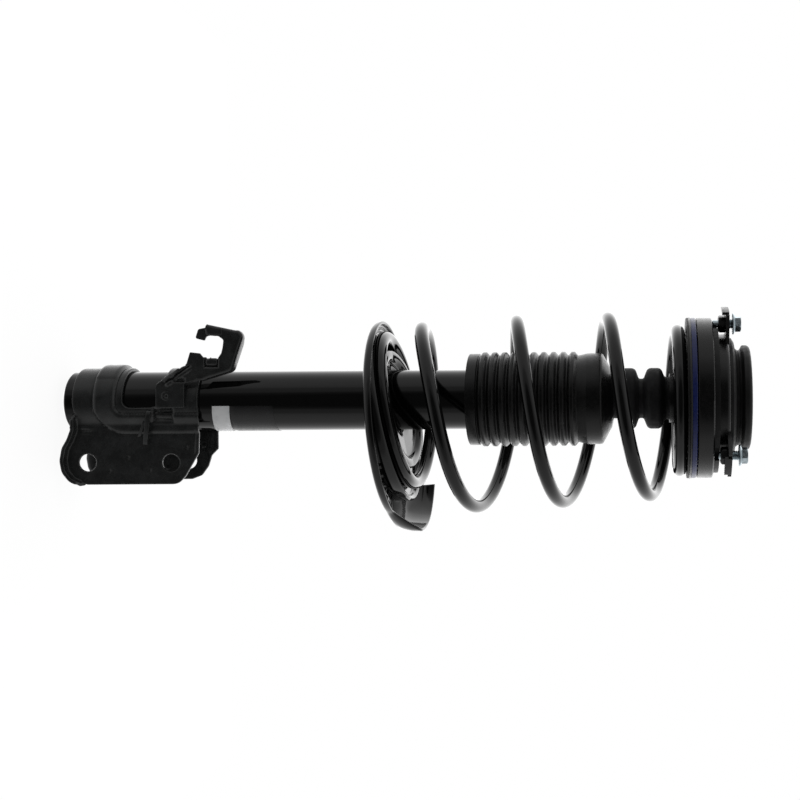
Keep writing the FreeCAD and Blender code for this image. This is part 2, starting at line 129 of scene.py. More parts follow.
def finish_material(name, tone, rough, metallic=0.0, vary=0.25, vary_mm=9.0, rough_spread=0.08,
                    grain_mm=0.35, grain_depth=0.03, wave_mm=14.0, wave_depth=0.05, specular=0.5,
                    edge=None, edge_mm=0.5, bevel_mm=0.0, dust=None):
    """Procedural finish: colour and roughness drift, grain, slow waves, dust and worn edges."""
    mat = bpy.data.materials.new(name)
    mat.use_nodes = True
    tree = mat.node_tree
    shader = tree.nodes["Principled BSDF"]
    shader.inputs["Metallic"].default_value = metallic
    shader.inputs["Specular IOR Level"].default_value = specular
    place = tree.nodes.new("ShaderNodeTexCoord").outputs["Object"]
    slow = noise_node(tree, place, vary_mm)
    fine = noise_node(tree, place, grain_mm, detail=2.0)
    lighter = tuple(min(1.0, c * (1 + vary)) for c in tone)
    darker = tuple(c * (1 - vary) for c in tone)
    colour = mixed(tree, ranged(tree, slow, 0.35, 0.65, 0.0, 1.0), darker, lighter)
    rough_drift = ranged(tree, noise_node(tree, place, vary_mm * 0.4), 0.3, 0.7,
                         rough - rough_spread, rough + rough_spread)
    if dust:
        dust_share = ranged(tree, noise_node(tree, place, vary_mm * 2.3, detail=5.0, roughness=0.7),
                            0.52, 0.78, 0.0, dust[1])
        colour = mixed(tree, dust_share, colour, dust[0])
    if edge:
        mask = edge_mask(tree, edge_mm)
        broken = tree.nodes.new("ShaderNodeMath")
        broken.operation = "MULTIPLY"
        link(tree, mask, broken.inputs[0])
        link(tree, ranged(tree, noise_node(tree, place, 2.2, detail=4.0), 0.42, 0.62, 0.0, 1.0),
             broken.inputs[1])
        colour = mixed(tree, broken.outputs["Value"], colour, edge)
    link(tree, colour, shader.inputs["Base Color"])
    link(tree, rough_drift, shader.inputs["Roughness"])
    waves = bump(tree, noise_node(tree, place, wave_mm, detail=1.0), wave_depth)
    if bevel_mm:
        link(tree, bevelled_normal(tree, bevel_mm), waves.inputs["Normal"])
    grain = bump(tree, fine, grain_depth)
    link(tree, waves.outputs["Normal"], grain.inputs["Normal"])
    link(tree, grain.outputs["Normal"], shader.inputs["Normal"])
    return mat


PAINT = finish_material("tube_paint", (0.0025, 0.0026, 0.0026), 0.07, rough_spread=0.025, grain_mm=0.9,
                        grain_depth=0.002, wave_mm=9.0, wave_depth=0.012, vary=0.2)
SPRING_PAINT = finish_material("spring_paint", (0.003, 0.003, 0.003), 0.07, rough_spread=0.025, grain_mm=0.7,
                               grain_depth=0.004, wave_mm=7.0, wave_depth=0.03, vary=0.3)
SEAT_PAINT = finish_material("seat_paint", (0.003, 0.003, 0.003), 0.07, rough_spread=0.025, grain_mm=0.8,
                             grain_depth=0.006, wave_mm=11.0, wave_depth=0.06, vary=0.3)
BRACKET_COAT = finish_material("bracket_coat", (0.026, 0.027, 0.027), 0.26, rough_spread=0.06, grain_mm=0.7,
                               grain_depth=0.005, wave_mm=10.0, vary=0.3,
                               edge=(0.03, 0.03, 0.032), bevel_mm=0.35)
PLATE_COAT = finish_material("plate_coat", (0.004, 0.004, 0.004), 0.26, grain_mm=0.6,
                             grain_depth=0.012, wave_mm=8.0, vary=0.3,
                             edge=(0.03, 0.03, 0.032), edge_mm=0.4, bevel_mm=0.35)
RUBBER = finish_material("mount_rubber", (0.005, 0.005, 0.005), 0.5, grain_mm=0.45,
                         grain_depth=0.02, wave_mm=6.0, wave_depth=0.04, specular=0.4, vary=0.3, bevel_mm=0.4)
BOOT_RUBBER = finish_material("boot_rubber", (0.002, 0.002, 0.002), 0.33, grain_mm=0.5,
                              grain_depth=0.012, wave_mm=8.0, specular=0.45, vary=0.3,
                              dust=((0.012, 0.012, 0.012), 0.5))
FOAM = finish_material("bumper_foam", (0.011, 0.011, 0.012), 0.7, rough_spread=0.1, grain_mm=0.8,
                       grain_depth=0.08, wave_mm=5.0, wave_depth=0.06, specular=0.35, vary=0.35)
SEAL_RUBBER = finish_material("seal_rubber", (0.012, 0.012, 0.012), 0.5, grain_depth=0.015,
                              vary=0.3)
PLASTIC = finish_material("housing_plastic", (0.002, 0.002, 0.002), 0.26, rough_spread=0.07, grain_mm=0.4,
                          grain_depth=0.01, wave_mm=12.0, wave_depth=0.03, vary=0.2, bevel_mm=0.35)
BLUE = finish_material("seal_blue", (0.012, 0.022, 0.125), 0.3, rough_spread=0.06, grain_mm=0.4,
                       grain_depth=0.006, vary=0.12, bevel_mm=0.3)
ZINC = finish_material("zinc", (0.52, 0.60, 0.64), 0.3, metallic=1.0, rough_spread=0.1, grain_mm=0.3,
                       grain_depth=0.008, wave_mm=3.0, wave_depth=0.02, vary=0.16, vary_mm=3.0, bevel_mm=0.25)
STEEL = finish_material("plain_steel", (0.42, 0.42, 0.43), 0.34, metallic=1.0, rough_spread=0.1, grain_mm=0.3,
                        grain_depth=0.01, vary=0.18, vary_mm=4.0, bevel_mm=0.3)
CHROME = finish_material("rod_chrome", (0.66, 0.67, 0.69), 0.07, metallic=1.0, rough_spread=0.03,
                         grain_mm=0.4, grain_depth=0.002, wave_depth=0.004, vary=0.04)
SINTERED = finish_material("sintered", (0.22, 0.21, 0.2), 0.5, metallic=1.0, grain_mm=0.3, vary=0.2)
PTFE = finish_material("ptfe", (0.10, 0.085, 0.07), 0.45, rough_spread=0.05, grain_depth=0.01, vary=0.15)
LABEL_BLACK = finish_material("label", (0.012, 0.012, 0.013), 0.3, rough_spread=0.05, grain_mm=0.3,
                              grain_depth=0.004, wave_mm=8.0, wave_depth=0.02, vary=0.2)
LABEL_WHITE = finish_material("label_white", (0.9, 0.91, 0.92), 0.4, rough_spread=0.06, grain_mm=0.3,
                              grain_depth=0.004, wave_mm=8.0, wave_depth=0.02, vary=0.07,
                              dust=((0.35, 0.35, 0.35), 0.35))

NODE_FINISH = {
    "mount_plate": PLATE_COAT, "dished_neck": RUBBER, "top_pad": RUBBER, "flange_bolts": ZINC,
    "weld_nuts": PLATE_COAT, "mount_core": STEEL, "mount_rubber": RUBBER, "rod_nut": ZINC,
    "bearing_housing": PLASTIC, "upper_race": STEEL, "piston_rod": CHROME, "bumper_cup": PLATE_COAT,
    "jounce_bumper": FOAM, "dust_boot": BOOT_RUBBER, "piston": SINTERED, "piston_ring": PTFE,
    "piston_nut": STEEL, "rebound_stop": PLASTIC, "upper_spring_seat": PLATE_COAT, "seal_ring": BLUE,
    "lower_race": STEEL, "bearing_balls": STEEL, "ball_cage": PTFE, "upper_isolator": RUBBER,
    "coil_spring": SPRING_PAINT, "strut_tube": PAINT, "base_cap": PAINT,
    "knuckle_bracket": BRACKET_COAT, "hose_bracket": BRACKET_COAT, "wire_clip": BRACKET_COAT,
    "lower_spring_seat": SEAT_PAINT, "strut_label": LABEL_BLACK, "pressure_tube": STEEL,
    "base_valve": SINTERED, "rod_guide": SINTERED, "guide_bush": PTFE, "rod_seal": SEAL_RUBBER,
    "tube_cap": PLATE_COAT,
}
for node_name, finish in NODE_FINISH.items():
    node_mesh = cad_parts[node_name].data
    node_mesh.materials.clear()
    node_mesh.materials.append(finish)


# ---- mesh tools -----------------------------------------------------------------------
def rounded(points, steps=5, closed=True):
    """Polyline through (u, v) corners; a third number rounds that corner."""
    line = []
    count = len(points)
    for index, point in enumerate(points):
        here = Vector(point[:2])
        end_point = not closed and index in (0, count - 1)
        if len(point) < 3 or end_point:
            line.append(here)
            continue
        back = (Vector(points[index - 1][:2]) - here).normalized()
        ahead = (Vector(points[(index + 1) % count][:2]) - here).normalized()
        half = back.angle(ahead) / 2
        if half > 1.55:
            line.append(here)
            continue
        cut = point[2] / math.tan(half)
        middle = here + (back + ahead).normalized() * (point[2] / math.sin(half))
        start = here + back * cut - middle
        end = here + ahead * cut - middle
        turn = start.angle_signed(end)
        for step in range(steps + 1):
            share = step / steps
            angle = turn * share
            spun = Vector((start.x * math.cos(angle) + start.y * math.sin(angle),
                           -start.x * math.sin(angle) + start.y * math.cos(angle)))
            line.append(middle + spun)
    return [(p.x, p.y) for p in line]


def piece_from(name, mesh_data, material, body, replaces=(), sharp_degrees=38):
    """Link a mesh in millimetres as a piece that rides on a CAD body."""
    mesh_data.transform(Matrix.Scale(MM, 4))
    mesh_data.shade_smooth()
    mesh_data.set_sharp_from_angle(angle=math.radians(sharp_degrees))
    mesh_data.materials.append(material)
    piece = bpy.data.objects.new(name, mesh_data)
    bpy.context.scene.collection.objects.link(piece)
    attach(piece, body)
    if replaces:
        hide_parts(*replaces)
    return piece


def merged_shape(verts, faces, merge):
    """Working mesh with coinciding points made one."""
    shape = bmesh.new()
    made = [shape.verts.new(v) for v in verts]
    for face in faces:
        if len(set(face)) == len(face):
            shape.faces.new([made[k] for k in face])
    bmesh.ops.remove_doubles(shape, verts=shape.verts, dist=merge)
    return shape


def mesh_from(name, verts, faces):
    shape = merged_shape(verts, faces, 0.001)
    bmesh.ops.dissolve_degenerate(shape, dist=0.001, edges=shape.edges)
    bmesh.ops.recalc_face_normals(shape, faces=shape.faces)
    data = bpy.data.meshes.new(name)
    shape.to_mesh(data)
    shape.free()
    return data


def ring_faces(rows, sides, closed=False):
    """Quads between rings of points; closed joins the last ring to the first."""
    faces = []
    for row in range(rows if closed else rows - 1):
        low = row * sides
        high = (row + 1) % rows * sides
        for k in range(sides):
            after = (k + 1) % sides
            faces.append((low + k, low + after, high + after, high + k))
    return faces


def end_faces(count, sides):
    """The flat faces over the first and the last ring of a row of rings."""
    return [tuple(range(sides)), tuple(range(count - sides, count))]


def grid_faces(rows, columns):
    """Quads over a grid of points that is listed row by row."""
    faces = []
    for row in range(rows - 1):
        for k in range(columns - 1):
            low = row * columns + k
            faces.append((low, low + 1, low + columns + 1, low + columns))
    return faces


def lathe_data(profile, segments):
    """Vertices and faces of a closed (radius, z) outline turned about Z."""
    verts = []
    for radius, z in profile:
        for k in range(segments):
            angle = TAU * k / segments
            verts.append((radius * math.cos(angle), radius * math.sin(angle), z))
    return verts, ring_faces(len(profile), segments, closed=True)


def sweep_data(centres, radius, sides):
    """Round wire along a line of points, with flat chamfered ends."""
    centres = [Vector(c) for c in centres]
    tangents = []
    for index in range(len(centres)):
        ahead = centres[min(index + 1, len(centres) - 1)]
        behind = centres[max(index - 1, 0)]
        tangents.append((ahead - behind).normalized())
    side = tangents[0].orthogonal().normalized()
    verts = []
    stations = [(0, radius * 0.86, 0.0), (0, radius, 0.9)]
    stations += [(k, radius, 0.0) for k in range(1, len(centres) - 1)]
    last = len(centres) - 1
    stations += [(last, radius, -0.9), (last, radius * 0.86, 0.0)]
    for index, size, shift in stations:
        tangent = tangents[index]
        side = (side - tangent * side.dot(tangent)).normalized()
        other = tangent.cross(side)
        for k in range(sides):
            angle = TAU * k / sides
            reach = side * math.cos(angle) + other * math.sin(angle)
            verts.append(centres[index] + tangent * shift + reach * size)
    return verts, ring_faces(len(stations), sides) + end_faces(len(verts), sides)


def inside(points, loop):
    """Even-odd test of (n, 2) points against a closed loop."""
    u, v = points[:, 0], points[:, 1]
    crossings = np.zeros(len(points), bool)
    for (u0, v0), (u1, v1) in zip(loop, np.roll(loop, -1, axis=0)):
        if v0 == v1:
            continue
        spans = (v0 > v) != (v1 > v)
        crossings ^= spans & (u < (u1 - u0) * (v - v0) / (v1 - v0) + u0)
    return crossings


def gap_to(points, loop, closed=True):
    """Distance from each point to a polyline."""
    loop = np.asarray(loop, float)
    starts = loop if closed else loop[:-1]
    ends = np.roll(loop, -1, axis=0) if closed else loop[1:]
    best = np.full(len(points), 1e9)
    for start, end in zip(starts, ends):
        run = end - start
        share = np.clip(((points - start) @ run) / max(run @ run, 1e-12), 0, 1)
        best = np.minimum(best, np.hypot(*(points - start - share[:, None] * run).T))
    return best


def spaced(loop, step):
    """The same closed loop with points no further apart than a step; corners stay."""
    made = []
    for start, end in zip(np.asarray(loop, float), np.roll(loop, -1, axis=0)):
        parts = max(1, int(math.ceil(np.hypot(*(end - start)) / step)))
        made += [start + (end - start) * k / parts for k in range(parts)]
    thinned = [made[0]]
    for point in made[1:]:
        if np.hypot(*(point - thinned[-1])) > 0.12 * step:
            thinned.append(point)
    return np.array(thinned)


def flat_mesh(outline, holes, step, margin):
    """Even triangles inside an outline with holes. Returns (n, 2) points and the triangles."""
    loops = [spaced(outline, step)] + [spaced(hole, step * 0.7) for hole in holes]
    low = loops[0].min(0)
    high = loops[0].max(0)
    rows = np.arange(low[1], high[1], step * 0.87)
    grid = []
    for k, row in enumerate(rows):
        across = np.arange(low[0] + (k % 2) * step / 2, high[0], step)
        grid.append(np.column_stack([across, np.full(len(across), row)]))
    grid = np.vstack(grid)
    keep = inside(grid, loops[0]) & (gap_to(grid, loops[0]) > margin)
    for hole in loops[1:]:
        keep &= ~inside(grid, hole) & (gap_to(grid, hole) > margin)
    points = np.vstack(loops + [grid[keep]])
    edges = []
    base = 0
    for loop in loops:
        count = len(loop)
        edges += [(base + k, base + (k + 1) % count) for k in range(count)]
        base += count
    made, _, faces, *_ = delaunay_2d_cdt([Vector(p) for p in points], edges, [], 1, 1e-5)
    made = np.array([(p.x, p.y) for p in made])
    faces = [tuple(f) for f in faces]
    middles = np.array([made[list(f)].mean(0) for f in faces])
    good = inside(middles, loops[0])
    for hole in loops[1:]:
        good &= ~inside(middles, hole)
    return made, [f for f, keep_it in zip(faces, good) if keep_it]


def step_up(value, low, high):
    """0 below low, 1 above high, smooth between; high may be below low."""
    share = np.clip((value - low) / (high - low), 0, 1)
    return share * share * (3 - 2 * share)


def thick_sheet(name, verts, faces, thickness, corner):
    """Sheet metal about a middle surface, with rounded cut edges."""
    shape = merged_shape(verts, faces, 0.02)
    bmesh.ops.recalc_face_normals(shape, faces=shape.faces)
    shape.verts.index_update()
    shape.normal_update()
    middle = [v.co.copy() for v in shape.verts]
    normal = [v.normal.copy() for v in shape.verts]
    kept = [[v.index for v in f.verts] for f in shape.faces]
    rim_edges = []
    for edge in shape.edges:
        if len(edge.link_faces) != 1:
            continue
        loop = edge.link_loops[0]
        rim_edges.append((loop.vert.index, loop.link_loop_next.vert.index))
    shape.free()
    half = thickness / 2
    heading = {}
    for start, end in rim_edges:
        run = (middle[end] - middle[start]).normalized()
        heading.setdefault(start, Vector()).xyz += run
        heading.setdefault(end, Vector()).xyz += run
    outward = {k: run.cross(normal[k]).normalized() for k, run in heading.items()}
    count = len(middle)
    points = []
    for sign in (1, -1):
        for k in range(count):
            inset = outward[k] * -corner if k in outward else Vector()
            points.append(middle[k] + normal[k] * (half * sign) + inset)
    polygons = [tuple(f) for f in kept]
    polygons += [tuple(count + k for k in reversed(f)) for f in kept]
    angles = (60, 20, -20, -60)
    rim_rows = {}
    for k, out in outward.items():
        row = [k]
        for degrees in angles:
            turn = math.radians(degrees)
            lift = (half - corner) * (1 if degrees > 0 else -1) + corner * math.sin(turn)
            points.append(middle[k] + out * (corner * (math.cos(turn) - 1)) + normal[k] * lift)
            row.append(len(points) - 1)
        row.append(count + k)
        rim_rows[k] = row
    for start, end in rim_edges:
        for k in range(len(angles) + 1):
            polygons.append((rim_rows[start][k], rim_rows[start][k + 1],
                             rim_rows[end][k + 1], rim_rows[end][k]))
    data = bpy.data.meshes.new(name)
    data.from_pydata(points, [], polygons)
    data.update()
    return data


# ---- coil spring ----------------------------------------------------------------------
SPRING_START = 430.0
SPRING_TURNS = 4.95
WIRE_R = 5.85
# turns from the top end, height, coil radius, how far the coil's centre lies towards +X
SPRING_SHAPE = (
    (0.0, -41.65, 59.4, 2.0), (0.45, -41.65, 59.4, 2.0), (0.694, -43.1, 60.0, 2.7),
    (0.944, -48.5, 66.0, 6.5), (1.194, -65.6, 73.0, 9.6), (1.444, -88.0, 75.2, 9.0),
    (1.694, -102.6, 76.5, 8.1), (1.944, -116.5, 77.6, 8.6), (2.194, -139.8, 78.2, 9.5),
    (2.444, -161.5, 77.8, 10.2), (2.694, -180.4, 77.3, 11.0), (2.944, -192.0, 77.8, 12.0),
    (3.194, -213.2, 78.2, 13.0), (3.444, -237.0, 77.4, 14.0), (3.694, -260.4, 76.0, 15.0),
    (3.944, -264.6, 68.5, 12.0), (4.194, -269.2, 61.6, 8.7),
)
# below the last row the wire lies flat in the lower seat's trough
SEATED_FROM = 4.194
SEATED_RADIUS = 61.6
SEATED_CENTRE_X = 8.7
SEAT_CENTRE_X = 17.0
TROUGH_Z = -286.9
TROUGH_TILT = math.radians(10.6)
TROUGH_CENTRE_X = 11.9
TROUGH_R = 73.2
SEATED_GAP = 0.25


def smooth_row(rows, at):
    """Values at a place in a table of rows, by a cubic that never overshoots."""
    index = next((k for k in range(len(rows) - 1) if at <= rows[k + 1][0]), len(rows) - 2)
    low = rows[index]
    high = rows[index + 1]
    width = high[0] - low[0]
    share = (at - low[0]) / width
    square = share * share
    cube = square * share
    values = []
    for k in range(1, len(low)):
        slopes = []
        for side in (index, index + 1):
            if side in (0, len(rows) - 1):
                slopes.append((high[k] - low[k]) / width)
                continue
            before = (rows[side][k] - rows[side - 1][k]) / (rows[side][0] - rows[side - 1][0])
            after = (rows[side + 1][k] - rows[side][k]) / (rows[side + 1][0] - rows[side][0])
            slopes.append(0.0 if before * after <= 0 else 2 * before * after / (before + after))
        values.append(low[k] * (2 * cube - 3 * square + 1) + high[k] * (3 * square - 2 * cube)
                      + width * (slopes[0] * (cube - 2 * square + share) + slopes[1] * (cube - square)))
    return values


def spring_centre(turns):
    """Centre of the wire, counted in turns down from its top end."""
    angle = math.radians(SPRING_START - 360 * turns)
    if turns > SEATED_FROM:
        radius = SEATED_RADIUS
        centre_x = SEATED_CENTRE_X
        reach = radius * math.cos(angle)
        z = TROUGH_Z + (WIRE_R + SEATED_GAP) / math.cos(TROUGH_TILT) + reach * math.tan(TROUGH_TILT)
    else:
        z, radius, centre_x = smooth_row(SPRING_SHAPE, turns)
    return (centre_x + radius * math.cos(angle), radius * math.sin(angle), z)


def make_spring():
    steps = 72
    centres = [spring_centre(k / steps) for k in range(int(SPRING_TURNS * steps) + 1)]
    verts, faces = sweep_data(centres, WIRE_R, sides=28)
    spring = piece_from("spring_wire", mesh_from("spring_wire", verts, faces), SPRING_PAINT,
                        "spring_group", ["coil_spring"])
    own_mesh(spring)


# ---- bumper and boot ------------------------------------------------------------------
def make_bumper():
    outline = [
        (10.4, -39.3), (18.5, -39.3), (18.5, -50, 1), (17.3, -53.6, 3), (26, -57.0, 4.5), (26, -68.4, 4.5),
        (16.9, -72, 2), (16.9, -76, 2), (26, -79.2, 4.5), (26, -90.2, 4.5), (17, -94, 2), (17, -99, 2),
        (24, -103, 4), (24, -114, 4), (17.5, -118, 2), (17.5, -121, 2), (21, -125, 4), (18, -140, 3),
        (10.4, -140),
    ]
    verts, faces = lathe_data(rounded(outline, steps=6), segments=96)
    bumper = piece_from("bumper", mesh_from("bumper", verts, faces), FOAM, "top_mount",
                        ["jounce_bumper"])
    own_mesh(bumper)


def make_boot():
    """Shoulder, upper collar, ten ribs and a plain lower collar, as one thin moulded sleeve."""
    peak_r = 40.3
    valley_r = 37.0
    pitch = 8.37
    first_peak = -207.2
    wall = 1.6
    outside = [(17.6, -97.4, 0.6), (24, -98.9, 4), (38.9, -107, 3.5), (38.9, -119.6, 0.8)]
    for rib in reversed(range(10)):
        middle = first_peak + rib * pitch
        outside.append((valley_r, middle + pitch / 2, 0.9))
        outside.append((peak_r, middle + 1.4, 1.2))
        outside.append((peak_r, middle - 1.4, 1.2))
    outside += [(valley_r, -211.1, 0.5), (39.0, -211.9, 0.5), (39.0, -220.1, 0.6)]
    inner = [(39.0 - wall, -220.1, 0.3)]
    for radius, z, *_ in reversed(outside[:-1]):
        lift = 0.0 if z < -108 else -wall
        inner.append((radius - wall, z + lift, 0.5))
    inner[-1] = (17.6, -97.4 - wall)
    verts, faces = lathe_data(rounded(outside + inner, steps=4), segments=144)
    boot = piece_from("boot", mesh_from("boot", verts, faces), BOOT_RUBBER, "top_mount",
                      ["dust_boot"])
    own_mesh(boot)


# ---- lower spring seat ----------------------------------------------------------------
SEAT_Z = -293.0
SEAT_TILT = math.radians(4.5)
SEAT_SHEET = 2.8
COLLAR_R = TUBE_R + 1.4
HUB_RISE = 0.12
GUARD_FROM = -24.0
GUARD_FULL = -4.0
GUARD_END = 49.0
# outer stations of the pressing as (radius, height over the shelf): plain lip, and guard wall
LIP = ((79.5, 0), (81.0, 0.25), (82.2, 1.1), (82.8, 2.2), (83.0, 3.5), (83.0, 4.6), (83.0, 5.7))
GUARD = ((79.5, 0), (83.5, 0.2), (87.5, 1.3), (91.0, 4.2), (93.6, 10.0), (95.4, 16.5), (96.0, 24.2))
TAB = ((79.5, 0), (83.5, 0.4), (87.5, 2.2), (91.2, 6.5), (94.6, 12.6), (95.2, 14.6), (95.4, 24.2))


def tilted_point(radius, height, degrees, centre_x, origin_z, tilt):
    """From the frame of a disc that leans towards -X, to the strut's frame."""
    angle = math.radians(degrees)
    u = radius * math.cos(angle)
    return Vector((centre_x + u * math.cos(tilt) - height * math.sin(tilt), radius * math.sin(angle),
                   origin_z + u * math.sin(tilt) + height * math.cos(tilt)))


def seat_stations(degrees, guarded):
    """Points of the pressing's middle surface along one spoke, from the collar out to the lip."""
    cosine = math.cos(math.radians(degrees))
    sine = math.sin(math.radians(degrees))
    collar = -SEATED_CENTRE_X * cosine + math.sqrt(COLLAR_R ** 2 - (SEATED_CENTRE_X * sine) ** 2)
    line = [(collar, -6.0), (collar, -0.5), (collar + 0.5, 1.6), (collar + 1.8, 3.0), (collar + 3.2, 3.4)]
    for share in (0.25, 0.5, 0.75, 1.0):
        line.append((collar + 3.2 + (40.2 - collar - 3.2) * share, 3.4))
    line += [(41.6, 3.8), (42.6, 4.8), (43.2, 6.0), (43.8, 7.0), (44.8, 7.5), (46.4, 7.6), (48.0, 7.5),
             (49.2, 7.2), (50.0, 6.4), (50.5, 5.2), (50.6, 2.6), (50.9, 1.0), (51.7, -0.4), (53.0, -1.2)]
    points = []
    for index, (radius, height) in enumerate(line):
        if index < 12:
            radius = max(radius, collar + 0.4 * index)
        # the hub stands higher towards +Y
        lift = HUB_RISE * radius * sine * (1.0 if sine > 0 else 0.4) * min(1.0, max(0.0, height / 3))
        points.append(tilted_point(radius, height + lift, degrees, SEATED_CENTRE_X, TROUGH_Z, TROUGH_TILT))
    trough_z = TROUGH_Z + (TROUGH_CENTRE_X - SEATED_CENTRE_X) * math.tan(TROUGH_TILT)

    def from_trough(radius, height):
        return tilted_point(radius, height, degrees, TROUGH_CENTRE_X, trough_z, TROUGH_TILT)

    hub_edge = points[-1]
    wall_foot = from_trough(TROUGH_R - 3.4, -1.4)
    points += [hub_edge.lerp(wall_foot, share) for share in (0.25, 0.5, 0.75)]
    points += [wall_foot, from_trough(TROUGH_R - 2.0, -1.1), from_trough(TROUGH_R - 1.1, -0.1),
               from_trough(TROUGH_R - 0.7, 1.4), from_trough(TROUGH_R - 0.2, 2.2),
               from_trough(TROUGH_R + 0.6, 2.3), from_trough(TROUGH_R + 1.2, 1.6)]

    def from_shelf(radius, height):
        return tilted_point(radius, height, degrees, SEAT_CENTRE_X, SEAT_Z, SEAT_TILT)

    shelf = 0.7
    crest = points[-1]
    reach = (crest.x - SEAT_CENTRE_X) * cosine + crest.y * sine
    foot_r = min(reach + 2.2, 79.0)
    foot = from_shelf(foot_r, shelf)
    drop = from_shelf(min(reach + 0.4, 78.0), shelf + 1.6)
    points += [crest.lerp(drop, 0.5), drop, foot, foot.lerp(from_shelf(79.3, shelf), 0.5)]
    share = float(step_up(degrees, GUARD_FROM, GUARD_FULL)) if guarded else 0.0
    tab = float(step_up(degrees, 22, 34))
    for lip, guard, flat in zip(LIP, GUARD, TAB):
        radius = guard[0] + (flat[0] - guard[0]) * tab
        height = guard[1] + (flat[1] - guard[1]) * tab
        points.append(from_shelf(lip[0] + (radius - lip[0]) * share,
                                 shelf + lip[1] + (height - lip[1]) * share))
    return points


def make_lower_seat():
    step = 1.5
    columns = [GUARD_END - 360 + step * k for k in range(int(360 / step) + 1)]
    verts = []
    for degrees in columns:
        verts += seat_stations(degrees, degrees > GUARD_FROM - 1)
    rows = len(seat_stations(0, True))
    slots = ((-54, 3), (-37, 3), (-28, 3), (-14, 2), (128, 3), (200, 3))
    slot_rows = (rows - len(LIP) - 2, rows - len(LIP) - 1)
    faces = []
    for column in range(len(columns) - 1):
        middle = (columns[column] + columns[column + 1]) / 2
        slotted = any(abs((middle - at + 180) % 360 - 180) < half for at, half in slots)
        for row in range(rows - 1):
            if slotted and row in slot_rows:
                continue
            low = column * rows + row
            high = low + rows
            faces.append((low, low + 1, high + 1, high))
    data = thick_sheet("lower_seat", verts, faces, SEAT_SHEET, corner=1.0)
    piece_from("lower_seat", data, SEAT_PAINT, "strut", ["lower_spring_seat"], sharp_degrees=50)


# ---- folded sheet edges ---------------------------------------------------------------
def fold_along(path, outwards, turn_to, radius, depth, steps=5):
    """Rows of points that bend away from a sheet's edge: a quarter bend, then a straight lip."""
    rows = [[Vector(p) for p in path]]
    for k in range(1, steps + 1):
        angle = math.pi / 2 * k / steps
        rows.append([Vector(p) + Vector(o) * (radius * math.sin(angle) * min(1, d / 2))
                     + Vector(turn_to) * (radius * (1 - math.cos(angle)) * min(1, d / 2))
                     for p, o, d in zip(path, outwards, depth)])
    for share in (0.34, 0.67, 1.0):
        rows.append([last + Vector(turn_to) * (d * share) for last, d in zip(rows[steps], depth)])
    verts = [v for row in rows for v in row]
    return verts, grid_faces(len(rows), len(path))


def joined(parts):
    verts = []
    faces = []
    for more_verts, more_faces in parts:
        base = len(verts)
        verts += [tuple(v) for v in more_verts]
        faces += [tuple(base + k for k in face) for face in more_faces]
    return verts, faces


def path_length_scale(path):
    """Share of the way along a path, at each point."""
    gaps = [0.0] + [float(np.hypot(*(np.subtract(b, a)))) for a, b in zip(path, path[1:])]
    along = np.cumsum(gaps)
    return along / along[-1]


# ---- knuckle bracket ------------------------------------------------------------------
WRAP_T = 3.2
WRAP_MID = TUBE_R + WRAP_T / 2
EAR_MID = 20.6
EAR_REACH = 69.6
EAR_HOLE_R = 7.25
EAR_HOLES = ((-539.3, 51.0), (-469.3, 51.5))
LIP_BEND = 3.0
BRACKET_STEP = 1.35


def wrap_section():
    """Half of the bracket's cross-section as (x, |y|), from behind the tube out to an ear's edge."""
    leave = math.asin(EAR_MID / WRAP_MID)
    corner_x = WRAP_MID * math.cos(leave)
    bend = 9.0
    arc = [(WRAP_MID * math.cos(a), WRAP_MID * math.sin(a)) for a in np.linspace(math.pi, leave + 0.16, 60)]
    return rounded(arc + [(corner_x + 0.6, EAR_MID, bend), (90, EAR_MID)], steps=10, closed=False)


SECTION = np.array(wrap_section())
SECTION_ALONG = np.concatenate([[0], np.cumsum(np.hypot(*np.diff(SECTION, axis=0).T))])


def along_at(x):
    """Distance along the half section at which it reaches x, beyond the tube's axis."""
    start = int(np.argmax(SECTION[:, 1])) if x > 0 else 0
    return float(np.interp(x, SECTION[start:, 0], SECTION_ALONG[start:]))


def section_at(along):
    """x, |y| and the outward normal at distances along the half section."""
    x = np.interp(along, SECTION_ALONG, SECTION[:, 0])
    y = np.interp(along, SECTION_ALONG, SECTION[:, 1])
    ahead_x = np.interp(along + 0.6, SECTION_ALONG, SECTION[:, 0])
    ahead_y = np.interp(along + 0.6, SECTION_ALONG, SECTION[:, 1])
    behind_x = np.interp(along - 0.6, SECTION_ALONG, SECTION[:, 0])
    behind_y = np.interp(along - 0.6, SECTION_ALONG, SECTION[:, 1])
    run_x = ahead_x - behind_x
    run_y = ahead_y - behind_y
    size = np.hypot(run_x, run_y)
    return x, y, -run_y / size, run_x / size


def half_outline():
    """One side of the unrolled bracket as (distance along the section, z), lower end first."""
    lower = [
        (0, -549.5), (along_at(0), -549.5), (along_at(8), -548.6),
        (along_at(14), -546.2), (along_at(24.5), -546.4, 10), (along_at(33), -549.6, 8),
        (along_at(40), -553.6, 8), (along_at(49), -555.2, 8), (along_at(57), -553.8, 8),
        (along_at(63), -549.0, 6), (along_at(65.2), -544.0), (along_at(EAR_REACH), -540.0, 2),
    ]
    upper = [
        (along_at(EAR_REACH), -463.0, 10), (along_at(62.4), -456.8, 3), (along_at(43.6), -446.0, 2),
        (along_at(24), -445.6, 4), (along_at(14), -444.5), (0, -444.5),
    ]
    far_upper = [
        (along_at(67.8), -470.0, 3), (along_at(67.8), -466.0, 5), (along_at(64.6), -457.6, 5),
        (along_at(56.5), -451.8, 5), (along_at(47.3), -449.0, 3), (along_at(41.5), -443.3, 1.5),
        (along_at(24), -443.3, 3), (along_at(14), -444.5), (0, -444.5),
    ]
    return lower, upper, far_upper


